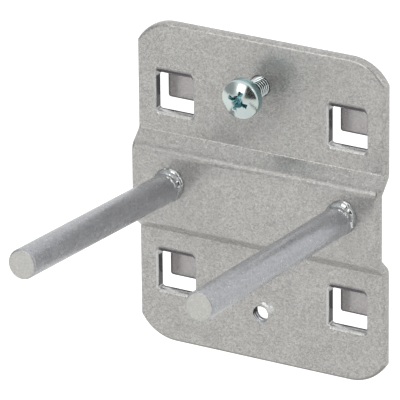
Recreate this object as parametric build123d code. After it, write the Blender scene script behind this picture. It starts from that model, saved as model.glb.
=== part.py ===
from build123d import *
from math import asin, cos, degrees, radians, sin, sqrt
import os

# Double tool hook for a perforated tool panel.
# One pressed steel plate hooks into four square panel holes, two round bars
# are stud welded to its raised band, and one pan-head screw locks it.
#
# Frame: millimetres, X to the right seen from the front, +Z up, the bars point
# along -Y and the panel hooks along +Y. The origin is the centre of the four
# hooks, in the plane where the plate lies on the panel.

# Panel grid that the hooks fit
hook_pitch = 38.1

# Plate: one sheet, cut to a rounded rectangle and pressed with a raised band
sheet = 2.0
plate_width = 54.6
plate_height = 67.8
plate_drop = 0.4
corner_radius = 9.0
front_edge_radius = 0.8
back_edge_radius = 0.3

# The blank was cropped from a wider one, so each corner's arc meets the side at an angle
side_crop = 1.1

# Raised band across the plate, given on the middle of the sheet
band_rise = 3.0
band_half_height = 7.3
ramp_foot_height = 10.1
bend_radius = 1.5

# Windows that the hooks are lanced from, about each point of the grid
window_width = 8.3
window_top = 3.4
window_bottom = -4.45
window_top_radius = 1.0
window_bottom_radius = 0.6

# Rolled-in lips of a window at the front face: the hook's bend, sides and sill
bend_lip = 1.5
side_lip = 0.4
side_lip_depth = 0.85
sill_lip = 0.9
lip_steps = (0, 15, 30, 45, 65, 90)

# Hooks: back through the window as a short web, then down behind the panel
hook_width = 8.2
board_slot = 2.8
leg_thickness = 1.9
leg_bottom = -3.2
leg_corner_radius = 0.6
leg_front_radius = 0.4
leg_rear_radius = 0.3
web_thickness = 1.5
web_root = 0.6
rear_bend_radius = 1.7
throat_radius = 0.5
root_radius = 0.4

# Tapped holes on the centre line, M4, drawn at the thread's outer diameter
tapped_hole_height = 24.1
tapped_hole_radius = 2.05
hole_edge_radius = 0.25

# Bars: each was held by hand at its weld, so its foot height and tilt are its own
bar_pitch = 38.1
bar_radius = 3.0
bar_length = 56.0
bar_tip_radius = 0.45
left_foot_height = 0.3
left_tilt = 5.3
right_foot_height = 1.0
right_tilt = 3.9

# Weld metal under the foot of each bar. It is hardly wider than the bar at its
# crown, and an ellipse at its root, shifted the way the flash was thrown.
weld_height = 1.4
weld_crown_radius = 3.05
flash_half_length = 3.7
flash_half_width = 3.3
flash_shift = 0.62
flash_direction = 62.0
flash_steps = (0, 25, 45, 65, 90)
root_overrun = 0.5

# Locking screw, M4 x 8 with a domed pan head and a cross recess, backed off
screw_radius = 2.0
screw_length = 8.0
screw_point = 0.4
screw_backed_off = 6.2
head_radius = 4.0
head_height = 3.1
head_dome_radius = 6.5
head_shoulder_radius = 0.5
recess_reach = 2.15
recess_wing = 0.95
recess_depth = 1.9
recess_taper = 8.0
recess_turn = -21.0

plate_front = -sheet
band_front = plate_front - band_rise


# Back plate


def sheet_section():
    """Section of the pressed sheet: flat, ramp, band, ramp, flat, of even thickness."""
    middle = -sheet / 2
    upper = [
        (middle - band_rise, band_half_height),
        (middle, ramp_foot_height),
        (middle, plate_height),
    ]
    lower = [(y, -z) for y, z in reversed(upper)]
    middle_line = FilletPolyline(*lower, *upper, radius=bend_radius)
    return trace(middle_line, line_width=sheet)


def sheet_middle(height):
    """Y of the middle of the sheet at a height, with its bends taken as sharp."""
    climb = (ramp_foot_height - abs(height)) / (ramp_foot_height - band_half_height)
    return -sheet / 2 - band_rise * min(max(climb, 0), 1)


def rim(plate, side):
    """Edges where the plate's cut rim meets its front face (side -1) or back face (side 1)."""

    def is_on_face(edge):
        center = edge.center()
        return side * (center.Y - sheet_middle(center.Z)) > 0.45 * sheet

    def is_bend_line(edge):
        return abs(edge.length - plate_width) < 0.01

    return [e for e in plate.edges() if is_on_face(e) and not is_bend_line(e)]


def blank():
    """The pressed sheet inside the plate's outline, its front rim rolled by the blanking."""
    pressed = extrude(Plane.YZ * sheet_section(), amount=plate_width, both=True)
    wide = RectangleRounded(plate_width + 2 * side_crop, plate_height, corner_radius)
    outline = Pos(0, -plate_drop) * (wide & Rectangle(plate_width, plate_height))
    trimmed = pressed & extrude(Plane.XZ * outline, amount=plate_width, both=True)
    rolled = fillet(rim(trimmed, -1), front_edge_radius)
    return fillet(rim(rolled, 1), back_edge_radius)


def lip_offset(width, lip_depth, depth):
    """How far a rolled lip still opens the window at a depth behind the front face."""
    share = max(1 - depth / lip_depth, 0)
    return width * (1 - sqrt(1 - share**2))


def window_outline(depth):
    """Window outline at a depth behind the front face, wider where its lips roll in."""
    side = lip_offset(side_lip, side_lip_depth, depth)
    top = window_top + lip_offset(bend_lip, bend_lip, depth)
    bottom = window_bottom - lip_offset(sill_lip, sill_lip, depth)
    outline = Pos(0, (top + bottom) / 2) * Rectangle(window_width + 2 * side, top - bottom)
    outline = fillet(outline.vertices().sort_by(Axis.Y)[2:], window_top_radius + side)
    outline = fillet(outline.vertices().sort_by(Axis.Y)[:2], window_bottom_radius + side)
    return Plane.XZ.offset(sheet - depth) * outline


def window_cutters():
    """Cutters for one window: its rolled lips, then straight through to the back."""
    depths = [bend_lip * (1 - cos(radians(angle))) for angle in lip_steps]
    lips = loft([window_outline(depth) for depth in depths], ruled=True)
    shaft = extrude(window_outline(bend_lip), amount=-sheet)
    return lips, shaft


def hook():
    """One lanced hook: a short web back from the plate, and a leg down behind the panel."""
    web_top = window_top + web_thickness
    rear = board_slot + leg_thickness
    inside = bend_lip - sheet
    side_view = Polyline(
        (inside, window_top),
        (board_slot, window_top),
        (board_slot, leg_bottom),
        (rear, leg_bottom),
        (rear, web_top),
        (0, web_top),
        (0, web_top + web_root),
        (inside, web_top + web_root),
        close=True,
    )
    profile = make_face(side_view)

    def rounded(face, y, z, radius):
        corner = face.vertices().sort_by_distance((y, z))[0]
        return fillet(corner, radius)

    profile = rounded(profile, board_slot, window_top, throat_radius)
    profile = rounded(profile, rear, web_top, rear_bend_radius)
    profile = rounded(profile, 0, web_top, root_radius)
    solid = extrude(Plane.YZ * profile, amount=hook_width / 2, both=True)
    toe = solid.edges().filter_by(Axis.Y).sort_by(Axis.Z)[:2]
    solid = fillet(toe, leg_corner_radius)

    def leg_rim(y):
        below_throat = window_top - throat_radius
        level = solid.edges().filter_by_position(Axis.Y, y - 0.01, y + 0.01)
        return [e for e in level if e.center().Z < below_throat]

    solid = fillet(leg_rim(board_slot), leg_front_radius)
    rear_toe = [e for e in leg_rim(rear) if abs(e.center().Z - leg_bottom) < 0.01]
    return fillet(rear_toe, leg_rear_radius)


def tapped(plate, height):
    """The plate with one tapped hole on its centre line, its front rim broken."""
    drill = Pos(0, plate_front, height) * Rot(90, 0, 0) * Cylinder(tapped_hole_radius, 3 * sheet)
    drilled = plate - drill
    rims = drilled.edges().filter_by(GeomType.CIRCLE).sort_by_distance((0, plate_front, height))
    return fillet(rims[0], hole_edge_radius)


def back_plate():
    plate = tapped(tapped(blank(), tapped_hole_height), -tapped_hole_height)
    lips, shaft = window_cutters()
    lanced_hook = hook()
    for x in (-hook_pitch / 2, hook_pitch / 2):
        for z in (-hook_pitch / 2, hook_pitch / 2):
            place = Pos(x, 0, z)
            plate -= place * lips
            plate -= place * shaft
            plate += place * lanced_hook
    return plate


# Bars and the weld metal at their feet


def bar_foot(x, height, tilt):
    """Plane across a bar where its axis leaves the band, facing out along the bar."""
    direction = Vector(0, -cos(radians(tilt)), sin(radians(tilt)))
    return Plane(origin=(x, band_front, height), x_dir=(1, 0, 0), z_dir=direction)


def bar(foot):
    """Round bar from the crown of its weld to its blunt tip."""
    rod = extrude(foot.offset(weld_height) * Circle(bar_radius), amount=bar_length - weld_height)
    tip = rod.edges().sort_by(Axis.Y)[0]
    return fillet(tip, bar_tip_radius)


def weld_section(foot, along, spread):
    """Outline of the weld metal at a height along the bar, spread out from 0 to 1."""
    half_length = weld_crown_radius + spread * (flash_half_length - weld_crown_radius)
    half_width = weld_crown_radius + spread * (flash_half_width - weld_crown_radius)
    outline = Rot(0, 0, flash_direction) * Pos(spread * flash_shift, 0) * Ellipse(half_length, half_width)
    return foot.offset(along) * outline


def weld(foot):
    """Weld metal between the band and the bar, bulging like a quarter of an ellipse."""
    sections = [weld_section(foot, -root_overrun, 1)]
    for step in flash_steps:
        angle = radians(step)
        sections.append(weld_section(foot, weld_height * sin(angle), cos(angle)))
    bead = loft(sections, ruled=True)
    return split(bead, Plane.XZ.offset(-band_front), keep=Keep.TOP)


# Locking screw


def screw_profile():
    """Half section of the screw: pan head, plain shank and chamfered point, as (r, -y)."""
    seat = -plate_front + screw_backed_off
    tip = seat - screw_length
    dome_rise = head_dome_radius - sqrt(head_dome_radius**2 - head_radius**2)
    crown = (0, seat + head_height)
    shoulder = (head_radius, seat + head_height - dome_rise)
    sides = Polyline(
        crown,
        (0, tip),
        (screw_radius - screw_point, tip),
        (screw_radius, tip + screw_point),
        (screw_radius, seat),
        (head_radius, seat),
        shoulder,
    )
    dome = CenterArc(
        (0, seat + head_height - head_dome_radius),
        head_dome_radius,
        90 - degrees(asin(head_radius / head_dome_radius)),
        degrees(asin(head_radius / head_dome_radius)),
    )
    section = make_face([sides, dome])
    return fillet(section.vertices().sort_by_distance(shoulder)[0], head_shoulder_radius)


def cross_recess():
    """Cutter for the cross recess, its wings narrowing towards the bottom."""
    seat = -plate_front + screw_backed_off
    top = Plane.XZ.offset(seat + head_height) * Rot(0, 0, recess_turn)
    wings = Rectangle(2 * recess_reach, recess_wing) + Rectangle(recess_wing, 2 * recess_reach)
    return extrude(top * wings, amount=-recess_depth, taper=recess_taper)


def locking_screw():
    turned = revolve(Plane.XY * screw_profile(), Axis.Y)
    # The half section is drawn upward, so the turned screw is laid over to point along -Y
    laid = Rot(180, 0, 0) * turned
    return Pos(0, 0, tapped_hole_height) * (laid - cross_recess())


def main():
    os.makedirs("parts", exist_ok=True)
    left_foot = bar_foot(-bar_pitch / 2, left_foot_height, left_tilt)
    right_foot = bar_foot(bar_pitch / 2, right_foot_height, right_tilt)
    parts = {
        "back_plate": back_plate(),
        "left_bar": bar(left_foot),
        "right_bar": bar(right_foot),
        "left_weld": weld(left_foot),
        "right_weld": weld(right_foot),
        "locking_screw": locking_screw(),
    }
    for name, part in parts.items():
        export_step(part, os.path.join("parts", name + ".step"))


main()
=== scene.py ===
import random
from math import atan2, cos, hypot, pi, radians, sin, sqrt

import bpy
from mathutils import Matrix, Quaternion, Vector


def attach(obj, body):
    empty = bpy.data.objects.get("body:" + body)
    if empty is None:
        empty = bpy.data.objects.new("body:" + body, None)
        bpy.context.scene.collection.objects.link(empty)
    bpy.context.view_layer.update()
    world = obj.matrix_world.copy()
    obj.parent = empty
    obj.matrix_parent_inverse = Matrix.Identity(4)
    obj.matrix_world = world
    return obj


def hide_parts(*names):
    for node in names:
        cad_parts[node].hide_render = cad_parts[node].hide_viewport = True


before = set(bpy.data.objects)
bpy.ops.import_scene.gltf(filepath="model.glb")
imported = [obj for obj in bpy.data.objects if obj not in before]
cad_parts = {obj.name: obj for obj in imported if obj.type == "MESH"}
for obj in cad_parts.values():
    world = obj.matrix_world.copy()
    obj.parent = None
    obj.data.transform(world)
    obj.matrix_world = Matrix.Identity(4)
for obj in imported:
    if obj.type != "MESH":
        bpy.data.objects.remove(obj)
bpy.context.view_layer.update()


def metres(millimetres):
    """Lengths in this file are millimetres, and the scene's unit is the metre."""
    return millimetres / 1000


def point(x, y, z):
    """A place in the hook's own frame."""
    return Vector((metres(x), metres(y), metres(z)))


def compass(azimuth, elevation):
    """Direction from the hook, in degrees. Azimuth 0 is in front of the plate, and it
    grows to the right; elevation grows upward."""
    a = radians(azimuth)
    e = radians(elevation)
    return Vector((sin(a) * cos(e), -cos(a) * cos(e), sin(e)))


view_azimuth = 29.295
view_elevation = 23.144
view_roll = -0.605
view_distance = 1139.6
view_aim = point(-11.11, -6.23, -0.4)
lens_length = 526.1
sensor_width = 36.0

to_camera = compass(view_azimuth, view_elevation)
camera = bpy.data.objects.new("camera", bpy.data.cameras.new("camera"))
camera.data.lens = lens_length
camera.data.sensor_width = sensor_width
camera.location = view_aim + metres(view_distance) * to_camera
camera.rotation_mode = "QUATERNION"
level = (-to_camera).to_track_quat("-Z", "Y")
camera.rotation_quaternion = level @ Quaternion((0, 0, 1), radians(view_roll))
bpy.context.scene.collection.objects.link(camera)
bpy.context.scene.camera = camera
bpy.context.scene.view_settings.view_transform = "Standard"


# Back plate
# Cold-rolled steel sheet, blanked, pressed with a band across its middle, with
# the four panel hooks lanced out of it, then zinc coated to a satin silver.
sheet_thickness = 2.0
hook_pitch = 38.1
hook_half_width = 4.1
hook_foot = -3.2
upper_bend_line = 7.9
below_windows = -24.0
# Where the painted highlight beside the spare hole is centred
painted_glint_spot = (1.75, -sheet_thickness, -22.6)


def colour(code):
    """A colour written as sRGB hex, turned to linear light."""
    channels = [int(code[i:i + 2], 16) / 255 for i in (1, 3, 5)]
    linear = [c / 12.92 if c <= 0.04045 else ((c + 0.055) / 1.055) ** 2.4 for c in channels]
    return (*linear, 1)


def add(tree, kind, inputs, **settings):
    """Adds a shader node with its settings, and fills its inputs with values or links.
    A node given as an input is linked from its first output in use."""
    made = tree.nodes.new("ShaderNode" + kind)
    for name, value in settings.items():
        setattr(made, name, value)
    for key, value in inputs.items():
        if isinstance(value, bpy.types.Node):
            value = next(output for output in value.outputs if output.enabled)
        if isinstance(value, bpy.types.NodeSocket):
            tree.links.new(value, made.inputs[key])
        else:
            made.inputs[key].default_value = value
    return made


def bare_material(name):
    """A new material and its node tree, with no nodes in it."""
    material = bpy.data.materials.new(name)
    material.use_nodes = True
    material.node_tree.nodes.clear()
    return material, material.node_tree


def surface(tree):
    """Where a point of the surface is, in millimetres, as a vector and along each axis,
    and how far it faces along each axis, from -1 to 1."""
    here = add(tree, "TexCoord", {})
    place = add(tree, "VectorMath", {
        0: here.outputs["Object"], "Scale": 1 / metres(1),
    }, operation="SCALE")
    at = add(tree, "SeparateXYZ", {"Vector": place}).outputs
    facing = add(tree, "SeparateXYZ", {"Vector": here.outputs["Normal"]}).outputs
    return place, at, facing


def lay_marks(tree, tone, marks):
    """Paints marks over a tone. A mark is its colour, its strength and its limits, and
    a limit is something measured, where the mark starts, and where it is full."""
    for code, strength, *limits in marks:
        mask = strength
        for measured, start, full in limits:
            fade = add(tree, "MapRange", {
                "Value": measured, "From Min": start, "From Max": full,
            }, interpolation_type="SMOOTHSTEP")
            mask = add(tree, "Math", {0: mask, 1: fade}, operation="MULTIPLY")
        tone = add(tree, "Mix", {"Factor": mask, "A": tone, "B": colour(code)}, data_type="RGBA")
    return tone


def sheet_painted_light(tree, place, at, facing):
    """Painted shade and painted highlights on the sheet, most of it round the windows."""
    from_window = []
    for axis in ("X", "Z"):
        half = add(tree, "Math", {0: at[axis]}, operation="SIGN")
        from_window.append(add(tree, "Math", {
            0: half, 1: -hook_pitch / 2, 2: at[axis],
        }, operation="MULTIPLY_ADD"))
    across, up = from_window
    window_reach = 5.4
    fold_top = 3.8
    # The level walls' back layer, which takes painted shade
    back_layer_depth = -0.2
    hard = 0.05
    away = {}
    for name, measured, middle in (
        ("bend line", at["Z"], upper_bend_line),
        ("window side", across, 0.0),
        ("window end", up, 0.0),
        ("fold", up, fold_top),
        ("back layer", at["Y"], back_layer_depth),
        ("side wall", facing["X"], 0.0),
        ("level wall", facing["Z"], 0.0),
    ):
        offset = add(tree, "Math", {0: measured, 1: middle}, operation="SUBTRACT")
        away[name] = add(tree, "Math", {0: offset}, operation="ABSOLUTE")
    furthest = add(tree, "Math", {0: away["window side"], 1: away["window end"]}, operation="MAXIMUM")
    painted_glint = add(tree, "VectorMath", {0: place, 1: painted_glint_spot}, operation="DISTANCE")

    hook_face = hook_half_width - 0.2
    by_window = (furthest, window_reach + hard, window_reach - hard)
    on_hook = (away["window side"], hook_face + hard, hook_face - hard)
    on_lower_rim = (at["Z"], below_windows + hard, below_windows - hard)
    in_front = (at["Y"], 0.2, 0.0)
    behind = (at["Y"], 0.2, 1.0)
    forward = (facing["Y"], -0.3, -0.8)
    at_side = (across, 0.6 - hook_face, -hook_face)
    at_foot = (up, hook_foot + 0.6, hook_foot + 0.15)
    return [
        # Painted shade along the outside of the upper bend, toning down its highlight
        ("#6B6967", 0.35, (away["bend line"], 1.0, 0.0)),
        # Painted shade on the lower rim, where it turns to face down
        ("#6E6C69", 0.7, on_lower_rim, (facing["Z"], -0.1, -0.5)),
        # Painted shade on the hooks behind the windows: a purple-grey tint on their faces, darkest at
        # their side and foot edges
        ("#C0B9BD", 0.5, by_window, behind, forward),
        ("#2B282C", 0.75, by_window, behind, forward, at_side),
        ("#2B282C", 0.75, by_window, behind, forward, at_foot),
        # Painted shade over each hook's fold, and on the fold itself and the rest by the windows where
        # it faces down
        ("#4E4A4C", 0.75, by_window, in_front, on_hook, (away["fold"], 1.3, 0.2)),
        ("#504D52", 1.0, by_window, (facing["Z"], -0.03, -0.35)),
        # Painted highlights on the windows' rolled lips, beside and below
        ("#F1F3F2", 0.6, by_window, in_front, (facing["X"], 0.2, 0.45)),
        ("#F1F3F2", 0.68, by_window, in_front, (facing["Z"], 0.4, 1.0)),
        # Painted shade on the walls through the sheet, the level ones only in their back layer
        ("#55555A", 1.0, by_window, (away["side wall"], 0.95, 1.0)),
        ("#55555A", 1.0, by_window, (away["level wall"], 0.95, 1.0), (away["back layer"], 0.4, 0.3)),
        # A painted highlight beside the spare hole, a pale glint on the sheet
        ("#E8EEF0", 0.35, (painted_glint, 1.5, 0.5)),
    ]


def zinc_coated_steel(name, dark, light, roughness, find_marks=None):
    """Satin zinc coat: a fine grain of lighter and darker crystals, a few bright facets
    among them, a slow cloudiness, and the faint relief of the grain. The crystals are
    drawn coarser than real ones, so that they show. The coat's thin matt oxide bloom
    mirrors less than bare metal, so it is only a little over half metallic."""
    crystal_size = 0.21
    grit_size = 0.45
    cloud_size = 5.0
    grit_share = 0.45
    cloud_share = 0.22
    facet_spacing = 0.75
    facet_share = 0.16
    facet_edge = 0.24
    facet_core = 0.12
    facet_gleam = 0.7
    grain_height = 0.014
    polish_drift = 0.04
    metallic_share = 0.55
    material, tree = bare_material(name)
    place, at, facing = surface(tree)
    crystals = add(tree, "TexVoronoi", {"Vector": place, "Scale": 1 / crystal_size})
    crystal_tone = add(tree, "SeparateColor", {"Color": crystals.outputs["Color"]})
    grit = add(tree, "TexNoise", {
        "Vector": place, "Scale": 1 / grit_size, "Detail": 2.0, "Roughness": 0.6,
    })
    clouds = add(tree, "TexNoise", {
        "Vector": place, "Scale": 1 / cloud_size, "Detail": 3.0, "Roughness": 0.55,
    })
    grain = add(tree, "Mix", {"Factor": grit_share, "A": crystal_tone, "B": grit})
    mottle = add(tree, "Mix", {"Factor": cloud_share, "A": grain, "B": clouds})
    tone = add(tree, "Mix", {
        "Factor": mottle, "A": colour(dark), "B": colour(light),
    }, data_type="RGBA")
    facets = add(tree, "TexVoronoi", {"Vector": place, "Scale": 1 / facet_spacing})
    facet_tone = add(tree, "SeparateColor", {"Color": facets.outputs["Color"]})
    chosen = add(tree, "Math", {
        0: facet_tone.outputs["Green"], 1: 1 - facet_share,
    }, operation="GREATER_THAN")
    middle = add(tree, "MapRange", {
        "Value": facets.outputs["Distance"],
        "From Min": facet_edge, "From Max": facet_core, "To Max": facet_gleam,
    })
    facet = add(tree, "Math", {0: chosen, 1: middle}, operation="MULTIPLY")
    tone = add(tree, "Mix", {"Factor": facet, "A": tone, "B": colour("#F4F4F2")}, data_type="RGBA")
    if find_marks:
        tone = lay_marks(tree, tone, find_marks(tree, place, at, facing))
    polish = add(tree, "MapRange", {
        "Value": clouds, "From Min": 0.3, "From Max": 0.7,
        "To Min": roughness - polish_drift, "To Max": roughness + polish_drift,
    })
    relief = add(tree, "Bump", {
        "Strength": 0.6, "Distance": metres(grain_height), "Height": grain,
    })
    coat = add(tree, "BsdfPrincipled", {
        "Base Color": tone, "Metallic": metallic_share, "Roughness": polish, "Normal": relief,
    })
    add(tree, "OutputMaterial", {"Surface": coat})
    return material


def coat_node(node, material):
    """Gives every face of a piece of the frame the finish."""
    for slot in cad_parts[node].material_slots:
        slot.material = material


sheet_coat = zinc_coated_steel("zinc_coated_sheet", "#757371", "#DAD9D6", 0.27, sheet_painted_light)
coat_node("back_plate", sheet_coat)


# Bars
# Two cold-drawn round bars, cut square and tumbled, stud welded to the band and
# zinc coated with the plate. The drawn surface takes the coat a little darker.
def cut_end(tree, place, at, facing):
    """The sawn end of a bar, a little paler and warmer than its drawn side."""
    return [("#CFCDC2", 0.5, (facing["Y"], -0.9, -0.98))]


bar_coat = zinc_coated_steel("zinc_coated_bar", "#7E8084", "#CFD0D4", 0.27, cut_end)
for bar in ("left_bar", "right_bar"):
    coat_node(bar, bar_coat)


# Weld flash
# Each bar was stud welded by hand. The steel thrown out of the joint, mostly to the
# upper right, froze on the weld bead and the bar's foot in short bright rolls.
bar_radius = 3.0
band_front = -5.0
weld_height = 1.4
weld_crown_radius = 3.05
flash_half_length = 3.7
flash_half_width = 3.3
flash_shift = 0.62
flash_direction = radians(62)

# For each side, the bar's place across, the height of its foot and its upward tilt
bar_feet = {
    "left": (-hook_pitch / 2, 0.3, radians(5.3)),
    "right": (hook_pitch / 2, 1.0, radians(3.9)),
}

# A roll: the angle round the bar of its middle and half the angle it spans, in degrees,
# how far out from the band it lies, half its width along the bar, and how proud it is
flash_rolls = {
    "left": [
        (63, 20, 0.75, 0.34, 0.2),
        (29, 15, 0.62, 0.26, 0.16),
        (26, 12, 1.2, 0.22, 0.2),
        (48, 30, 2.0, 0.32, 0.24),
        (98, 6, 0.6, 0.3, 0.2),
        (131, 7, 0.9, 0.3, 0.24),
    ],
    "right": [
        (68, 14, 0.55, 0.26, 0.22),
        (68, 13, 1.05, 0.26, 0.2),
        (41, 12, 1.1, 0.26, 0.22),
        (48, 7, 1.62, 0.2, 0.2),
        (67, 13, 2.2, 0.32, 0.24),
        (46, 8, 2.1, 0.3, 0.24),
        (36, 9, 1.75, 0.3, 0.24),
        (3, 14, 1.25, 0.18, 0.12),
        (-10, 4, 1.1, 0.2, 0.22),
    ],
}


def closed_grid(name, rings, capped):
    """A closed mesh from rings of equally many points: the last ring meets the
    first, or with capped both end rings are filled from their middles."""
    around = len(rings[0])
    corners = [p for ring in rings for p in ring]
    faces = []
    last = len(rings) - 1 if capped else len(rings)
    for row in range(last):
        below = row * around
        above = (row + 1) % len(rings) * around
        for i in range(around):
            j = (i + 1) % around
            faces.append((below + i, below + j, above + j, above + i))
    if capped:
        for ring, turn in ((0, -1), (len(rings) - 1, 1)):
            start = ring * around
            corners.append(sum(rings[ring], Vector()) / around)
            for i in range(around):
                rim = (start + i, start + (i + 1) % around)[::turn]
                faces.append((*rim, len(corners) - 1))
    mesh = bpy.data.meshes.new(name)
    mesh.from_pydata(corners, [], faces)
    mesh.polygons.foreach_set("use_smooth", [True] * len(faces))
    mesh.update()
    return mesh


def place_piece(name, mesh, material, body):
    """Makes the piece, gives it its finish, and lets it ride on its body."""
    piece = bpy.data.objects.new(name, mesh)
    mesh.materials.append(material)
    bpy.context.scene.collection.objects.link(piece)
    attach(piece, body)
    return piece


def ripples(rng, waves):
    """A sum of uneven waves round the ring, between about -1 and 1."""
    parts = [(rng.uniform(0.5, 1.0) / len(waves), n, rng.uniform(0, 2 * pi)) for n in waves]
    return lambda angle: sum(size * sin(n * angle + phase) for size, n, phase in parts)


def flash_reach(angle):
    """From the bar's axis to the root of the bead, a shifted ellipse, in a direction."""
    along = cos(angle - flash_direction)
    across = sin(angle - flash_direction)
    square = (along / flash_half_length)**2 + (across / flash_half_width)**2
    middle = along * flash_shift / flash_half_length**2
    rest = 1 - (flash_shift / flash_half_length)**2
    return (middle + sqrt(middle**2 + square * rest)) / square


def bead_radius(angle, along):
    """Radius of the bar with its weld bead, which bulges like a quarter of an ellipse."""
    if along >= weld_height:
        return bar_radius
    spread = sqrt(1 - (along / weld_height)**2)
    return weld_crown_radius + (flash_reach(angle) - weld_crown_radius) * spread


def roll_height(angle, along, rolls, wander):
    """How far the flash stands out of the bead, or how deep it is buried where no roll
    passes. A roll has blunt ends, a round back, and wanders a little along the bar."""
    buried = -0.12
    wander_reach = 0.12
    height = buried
    for middle, half_angle, centre, half_width, proud in rolls:
        turn = (angle - radians(middle)) / radians(half_angle)
        across = (along - centre - wander_reach * wander(angle)) / half_width
        fullness = 1 - turn**4 - across**2
        if fullness > 0:
            height = max(height, buried + (proud - buried) * sqrt(fullness))
    return height


def flash_mesh(name, foot, rolls, rng):
    """The rolls of one weld, as rings along the bar that swell where a roll passes.
    Each millimetre along the bar has dimples of its own."""
    around = 360
    rows = 64
    flash_height = 2.8
    dimple_height = 0.03
    x, foot_height, tilt = foot
    wander = ripples(rng, (3, 5, 8, 13))
    dimples = [ripples(rng, (17, 23, 31)) for _ in range(3)]
    rings = []
    for row in range(rows + 1):
        along = flash_height * row / rows
        ring = []
        for step in range(around):
            angle = 2 * pi * step / around - pi
            bead = bead_radius(angle, along)
            unevenness = dimple_height * dimples[int(along)](angle)
            radius = bead + roll_height(angle, along, rolls, wander) + unevenness
            up = radius * sin(angle)
            ring.append(point(
                x + radius * cos(angle),
                band_front - along * cos(tilt) + up * sin(tilt),
                foot_height + along * sin(tilt) + up * cos(tilt),
            ))
        rings.append(ring)
    return closed_grid(name, rings, capped=True)


def bright_metal(name, dark, light, roughness):
    """Steel that froze from the melt or was torn by the tap: smoother than the sheet,
    so it glints, with a faint bloom."""
    ripple_length = 0.6
    ripple_height = 0.03
    material, tree = bare_material(name)
    place, _, _ = surface(tree)
    bloom = add(tree, "TexNoise", {
        "Vector": place, "Scale": 1 / ripple_length, "Detail": 4.0, "Roughness": 0.6,
    })
    tone = add(tree, "Mix", {
        "Factor": bloom, "A": colour(dark), "B": colour(light),
    }, data_type="RGBA")
    relief = add(tree, "Bump", {
        "Strength": 0.4, "Distance": metres(ripple_height), "Height": bloom,
    })
    metal = add(tree, "BsdfPrincipled", {
        "Base Color": tone, "Metallic": 1.0, "Roughness": roughness, "Normal": relief,
    })
    add(tree, "OutputMaterial", {"Surface": metal})
    return material


weld_coat = zinc_coated_steel("zinc_coated_weld", "#686B6C", "#C4C7C7", 0.25)
weld_flash = bright_metal("bright_weld_flash", "#A9ACAB", "#ECEEEE", 0.14)
ripple_seed = 4
ripple_rng = random.Random(ripple_seed)
for side, foot in bar_feet.items():
    coat_node(side + "_weld", weld_coat)
    name = side + "_weld_flash"
    mesh = flash_mesh(name, foot, flash_rolls[side], ripple_rng)
    place_piece(name, mesh, weld_flash, "bracket")


# Tapped hole
# The lower hole on the centre line is drilled and tapped M4 for a second locking
# screw. The tap left a small chamfer, a cut thread and bright burrs by its rim.
thread_pitch = 0.7
thread_radius = 2.0
thread_depth = 0.43
hole_radius = 2.05
hole_middle = (-0.2, -24.2)


def thread_profile(turns):
    """Depth below the crest, from 0 to 1, at a place in the pitch: flat on the
    crest for an eighth, and in the root for a quarter, with straight flanks."""
    crest = 0.125
    flanks = 0.625
    from_crest = abs((turns % 1) - 0.5) * 2
    return min(max((from_crest - crest) / flanks, 0), 1)


def hole_point(radius, angle, depth):
    """A place in the hole, at a depth behind the front face."""
    x, z = hole_middle
    return point(x + radius * cos(angle), depth - sheet_thickness, z + radius * sin(angle))


def tapped_thread_mesh(name):
    """The threaded wall of the hole as one closed ring, with its rim in both faces."""
    around = 120
    rows = 56
    land = 0.26
    chamfer = 0.16
    drilled_radius = hole_radius - thread_depth
    rim_radius = 2.56
    rim_depth = 0.05
    back_radius = hole_radius + 0.05
    back_depth = 0.3
    proud = 0.004
    rings = []
    for row in range(rows + 1):
        depth = sheet_thickness * row / rows
        from_face = min(depth, sheet_thickness - depth)
        ring = []
        for step in range(around):
            angle = 2 * pi * step / around
            cut = thread_profile(depth / thread_pitch + step / around + 0.5)
            radius = hole_radius - thread_depth * cut
            if from_face < land:
                radius = min(radius, drilled_radius + max(chamfer - from_face, 0))
            ring.append(hole_point(radius, angle, depth))
        rings.append(ring)
    for radius, depth in (
        (rim_radius, sheet_thickness + proud),
        (rim_radius, sheet_thickness - rim_depth),
        (back_radius, sheet_thickness - back_depth),
        (back_radius, back_depth),
        (rim_radius, rim_depth),
        (rim_radius, -proud),
    ):
        rings.append([hole_point(radius, 2 * pi * i / around, depth) for i in range(around)])
    return closed_grid(name, rings, capped=False)


def from_axis(tree, place, x, z):
    """Distance from a line that runs straight through the plate at x and z."""
    flat = add(tree, "VectorMath", {0: place, 1: (1, 0, 1)}, operation="MULTIPLY")
    return add(tree, "VectorMath", {0: flat, 1: (x, 0, z)}, operation="DISTANCE")


def cut_thread_steel():
    """Freshly cut thread that the coat hardly reached, bright on its crests, with painted
    shade that makes it dark in its roots and black on its upper side, which faces down."""
    material, tree = bare_material("cut_thread_steel")
    place, at, _ = surface(tree)
    x, z = hole_middle
    # Painted shade: dark in the thread's roots and black over the hole's upper side
    tone = lay_marks(tree, colour("#D3D6DB"), [
        ("#0C0D0E", 1.0, (from_axis(tree, place, x, z), 1.66, 1.95)),
        ("#0B0B0C", 0.95, (at["Z"], z - 0.75, z - 0.15)),
    ])
    metal = add(tree, "BsdfPrincipled", {"Base Color": tone, "Metallic": 1.0, "Roughness": 0.22})
    add(tree, "OutputMaterial", {"Surface": metal})
    return material


def burr_mesh(name, radius, first, last, thickness, rng):
    """A burr that the tap raised beside the rim, thick and thin, between two angles."""
    sections = 60
    sides = 12
    tip = 0.02
    fullness = 0.8
    lumpiness = 0.4
    flatness = 1.6
    wander = 0.06
    unevenness = ripples(rng, (5, 9, 14))
    rings = []
    for i in range(sections + 1):
        share = i / sections
        angle = radians(first + (last - first) * share)
        size = thickness * (tip + sin(pi * share) * (fullness + lumpiness * unevenness(angle)))
        middle = radius + wander * unevenness(2 * angle)
        ring = []
        for j in range(sides):
            turn = 2 * pi * j / sides
            ring.append(hole_point(middle + flatness * size * cos(turn), angle, size * sin(turn)))
        rings.append(ring)
    return closed_grid(name, rings, capped=True)


thread_piece = place_piece(
    "tapped_thread", tapped_thread_mesh("tapped_thread"), cut_thread_steel(), "bracket"
)
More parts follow.
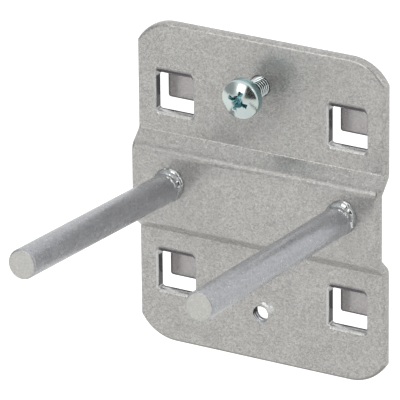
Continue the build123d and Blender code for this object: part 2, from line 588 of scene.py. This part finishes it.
# The rim that lies in the plate's faces is coated like the sheet
level_with_plate = 0.95
thread_piece.data.materials.append(sheet_coat)
for face in thread_piece.data.polygons:
    if abs(face.normal.y) > level_with_plate:
        face.material_index = 1
        face.use_smooth = False
torn_burr = bright_metal("torn_bright_burr", "#E4E7E8", "#FBFCFC", 0.38)
for name, radius, first, last, thickness in (
    ("thread_burr_long", 2.6, 44, 86, 0.36),
    ("thread_burr_short", 3.3, 33, 47, 0.2),
):
    burr = burr_mesh(name, radius, first, last, thickness, ripple_rng)
    place_piece(name, burr, torn_burr, "bracket")


# Locking screw
# An M4 machine screw with a pan head and a cross recess, cold headed, thread
# rolled, and bright zinc plated with a faint blue and green passivate.
screw_height = 24.1
screw_length = 8.0
screw_backed_off = 6.2
screw_point = 0.4
head_radius = 4.0
head_height = 3.1
head_dome = 6.5
head_shoulder = 0.5
recess_reach = 2.15
recess_wing = 1.0
recess_depth = 1.9
recess_turn = radians(-21)
screw_seat = sheet_thickness + screw_backed_off


def smooth_step(edge, soft, value):
    """1 inside the edge, 0 outside it, turning over within the soft width."""
    t = min(max((edge + soft - value) / (2 * soft), 0), 1)
    return t * t * (3 - 2 * t)


def recess_at(u, v):
    """Depth of the cross recess below the head's face, at a point in its own axes. Its
    wings slope in and narrow as they go down, and a cone opens its middle."""
    flare = 1.9
    wing_edge = 0.07
    wing_taper = 0.12
    core_reach = 1.25
    core_flare = 2.4
    deepest = min(max((core_reach - hypot(u, v)) * core_flare, 0), recess_depth)
    for along, across in ((abs(u), abs(v)), (abs(v), abs(u))):
        floor = min(max((recess_reach - along) * flare, 0), recess_depth)
        half_wing = recess_wing / 2 - wing_taper * floor
        deepest = max(deepest, floor * smooth_step(half_wing, wing_edge, across))
    return deepest


def shank_rings():
    """Rings of the threaded shank, from its point to under the head, where the thread
    runs out to half its depth."""
    around = 120
    rows = 176
    runout = 0.7
    runout_depth = 0.5
    rings = []
    for row in range(rows + 1):
        along = screw_length * row / rows
        point_radius = thread_radius - screw_point + along
        fade = min(max((screw_length - along) / runout, 0), 1)
        ring = []
        for step in range(around):
            angle = 2 * pi * step / around
            cut = thread_profile(along / thread_pitch - step / around)
            radius = thread_radius - thread_depth * (fade * cut + (1 - fade) * runout_depth)
            radius = min(radius, point_radius)
            ring.append(point(
                radius * cos(angle),
                -screw_seat + screw_length - along,
                screw_height + radius * sin(angle),
            ))
        rings.append(ring)
    return rings


def head_profile():
    """Half outline of the pan head up to where its dome starts, as (radius, height
    above the seat), and the dome's slope there. Its underside is a little hollow."""
    inner_radius = thread_radius - 0.3
    hollow = 0.04
    clear = 0.01
    under_edge = 0.12
    shoulder_steps = 8
    outline = [(inner_radius, hollow), (head_radius - under_edge, clear)]
    outline += [
        (head_radius - under_edge * (1 - sin(a)), under_edge * (1 - cos(a)))
        for a in (radians(30), radians(60), radians(90))
    ]
    dome_centre = head_height - head_dome
    shoulder_out = head_radius - head_shoulder
    shoulder_up = sqrt((head_dome - head_shoulder)**2 - shoulder_out**2)
    slope = atan2(shoulder_out, shoulder_up)
    for step in range(shoulder_steps + 1):
        turn = (pi / 2 - slope) * step / shoulder_steps
        outline.append((
            shoulder_out + head_shoulder * cos(turn),
            dome_centre + shoulder_up + head_shoulder * sin(turn),
        ))
    return outline, slope


def head_rings():
    """Rings of the pan head, round its side and over its dome into the recess."""
    around = 240
    dome_rows = 72
    profile, slope = head_profile()
    side_rows = len(profile)
    for row in range(1, dome_rows):
        lean = slope * (1 - row / dome_rows)
        profile.append((head_dome * sin(lean), head_height - head_dome * (1 - cos(lean))))
    rings = []
    for row, (radius, height) in enumerate(profile):
        ring = []
        for step in range(around):
            angle = 2 * pi * step / around
            sunk = recess_at(radius * cos(angle), radius * sin(angle)) if row > side_rows else 0
            turned = angle + recess_turn
            ring.append(point(
                radius * cos(turned), -screw_seat - height + sunk, screw_height + radius * sin(turned)
            ))
        rings.append(ring)
    return rings


def bright_zinc_plate(name, blue, straw, roughness, find_marks):
    """Bright zinc with a thin clear passivate: near mirror, pale and cool, with a
    faint drift between blue and straw, and finely scuffed."""
    drift_length = 2.5
    scuff_size = 0.5
    polish_drift = 0.04
    material, tree = bare_material(name)
    place, at, facing = surface(tree)
    drift = add(tree, "TexNoise", {
        "Vector": place, "Scale": 1 / drift_length, "Detail": 2.0, "Roughness": 0.5,
    })
    tone = add(tree, "Mix", {
        "Factor": drift, "A": colour(blue), "B": colour(straw),
    }, data_type="RGBA")
    tone = lay_marks(tree, tone, find_marks(tree, place, at, facing))
    scuffs = add(tree, "TexNoise", {
        "Vector": place, "Scale": 1 / scuff_size, "Detail": 3.0, "Roughness": 0.6,
    })
    polish = add(tree, "MapRange", {
        "Value": scuffs, "From Min": 0.35, "From Max": 0.7,
        "To Min": roughness - polish_drift, "To Max": roughness + polish_drift,
    })
    metal = add(tree, "BsdfPrincipled", {"Base Color": tone, "Metallic": 1.0, "Roughness": polish})
    add(tree, "OutputMaterial", {"Surface": metal})
    return material


def thread_root_shade(tree, place, at, facing):
    """Painted shade in the roots of the thread, dark against the zinc."""
    radius = from_axis(tree, place, 0, screw_height)
    return [("#1D262B", 1.0, (radius, thread_radius - 0.03, thread_radius - 0.24))]


def recess_and_flank_shade(tree, place, at, facing):
    """Painted shade, bluer than the zinc, in the recess, well under the dome that it is
    sunk in, and on the side and underside of the head."""
    dome_top = -screw_seat - head_height
    radius = from_axis(tree, place, 0, screw_height)
    return [
        ("#A5C5C9", 1.0, (radius, recess_reach + 0.2, recess_reach + 0.15),
         (at["Y"], dome_top + 0.45, dome_top + 0.75)),
        ("#A5C5C9", 1.0, (facing["Y"], -0.5, -0.1)),
    ]


shank = closed_grid("screw_shank", shank_rings(), capped=True)
head = closed_grid("screw_head", head_rings(), capped=True)
thread_zinc = bright_zinc_plate("bright_zinc_thread", "#DCE9EE", "#F0F3EE", 0.12, thread_root_shade)
head_zinc = bright_zinc_plate("bright_zinc_head", "#B9CAD0", "#D8DDD3", 0.18, recess_and_flank_shade)
screw = place_piece("threaded_shank", shank, thread_zinc, "screw")
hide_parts("locking_screw")
place_piece("pan_head", head, head_zinc, "screw")


# Floor and light
# A pale studio sweep well below the hook, which hangs in its own frame, one large
# soft box above to the left, a small one to the right and a pale room.
room_level = 0.97
floor_drop = 180.0
floor_width = 3000.0


def pale_room():
    """The room is white to the camera. To the metal it is pale all round, greyer low
    on the left, and black in one wedge at the front, the room's dark doorway."""
    grey_level = 0.4 * room_level
    grey_edge = 0.8
    grey_core = 0.97
    grey_middle = compass(-63, 6)
    doorway_level = 0.03
    doorway_edge = -0.01
    doorway_core = 0.02
    top = compass(5, 48)
    left_foot = compass(0, -4)
    right_foot = compass(50, -8)
    world = bpy.data.worlds.new("pale_room")
    bpy.context.scene.world = world
    world.use_nodes = True
    tree = world.node_tree
    tree.nodes.clear()
    direction = add(tree, "TexCoord", {}).outputs["Generated"]
    leanings = []
    for way in (
        grey_middle, top.cross(left_foot), right_foot.cross(top), left_foot.cross(right_foot)
    ):
        leanings.append(add(tree, "VectorMath", {
            0: direction, 1: way.normalized(),
        }, operation="DOT_PRODUCT"))
    to_grey, wedge, *other_sides = leanings
    for side in other_sides:
        wedge = add(tree, "Math", {0: wedge, 1: side}, operation="MINIMUM")
    grey_side = add(tree, "MapRange", {
        "Value": to_grey, "From Min": grey_edge, "From Max": grey_core,
        "To Min": room_level, "To Max": grey_level,
    }, interpolation_type="SMOOTHSTEP")
    doorway = add(tree, "MapRange", {
        "Value": wedge, "From Min": doorway_edge, "From Max": doorway_core,
        "To Min": 1.0, "To Max": doorway_level,
    }, interpolation_type="SMOOTHSTEP")
    shade = add(tree, "Math", {0: grey_side, 1: doorway}, operation="MULTIPLY")
    seen = add(tree, "LightPath", {}).outputs["Is Camera Ray"]
    strength = add(tree, "Mix", {"Factor": seen, "A": shade, "B": 1.0})
    light = add(tree, "Background", {"Color": colour("#FFFFFF"), "Strength": strength})
    add(tree, "OutputWorld", {"Surface": light})


def white_floor():
    """Matt white floor that keeps shadows, lifted a little to pure white for the
    camera, and less, fading to the right, for the metal that mirrors it."""
    camera_lift = 0.4
    mirror_lift = 0.16
    fade_start = -420
    fade_end = 60
    material, tree = bare_material("matt_white_floor")
    _, at, _ = surface(tree)
    path = add(tree, "LightPath", {})
    mirrored = add(tree, "MapRange", {
        "Value": at["X"], "From Min": fade_start, "From Max": fade_end,
        "To Min": mirror_lift, "To Max": 0.0,
    })
    glossy = add(tree, "Math", {
        0: path.outputs["Is Glossy Ray"], 1: mirrored,
    }, operation="MULTIPLY")
    lift = add(tree, "Math", {
        0: path.outputs["Is Camera Ray"], 1: camera_lift, 2: glossy,
    }, operation="MULTIPLY_ADD")
    matt = add(tree, "BsdfDiffuse", {"Color": colour("#F7F7F6")})
    glow = add(tree, "Emission", {"Color": colour("#FFFFFF"), "Strength": lift})
    both = add(tree, "AddShader", {0: matt, 1: glow})
    add(tree, "OutputMaterial", {"Surface": both})
    return material


def soft_box(name, azimuth, elevation, distance, size, watts):
    """A square soft lamp on a circle round the hook, aimed at it."""
    lamp = bpy.data.objects.new(name, bpy.data.lights.new(name, "AREA"))
    lamp.data.size = metres(size)
    lamp.data.energy = watts
    towards = compass(azimuth, elevation)
    lamp.location = metres(distance) * towards
    lamp.rotation_mode = "QUATERNION"
    lamp.rotation_quaternion = (-towards).to_track_quat("-Z", "Y")
    bpy.context.scene.collection.objects.link(lamp)


pale_room()
half = floor_width / 2
floor_mesh = bpy.data.meshes.new("floor")
floor_mesh.from_pydata(
    [point(x, y, -floor_drop) for x, y in ((-half, -half), (half, -half), (half, half), (-half, half))],
    [], [(0, 1, 2, 3)],
)
floor_mesh.materials.append(white_floor())
floor = bpy.data.objects.new("floor", floor_mesh)
bpy.context.scene.collection.objects.link(floor)
soft_box("key_box", -16, 25, 700, 330, 0.62)
soft_box("corner_box", 45, 37, 900, 150, 0.25)
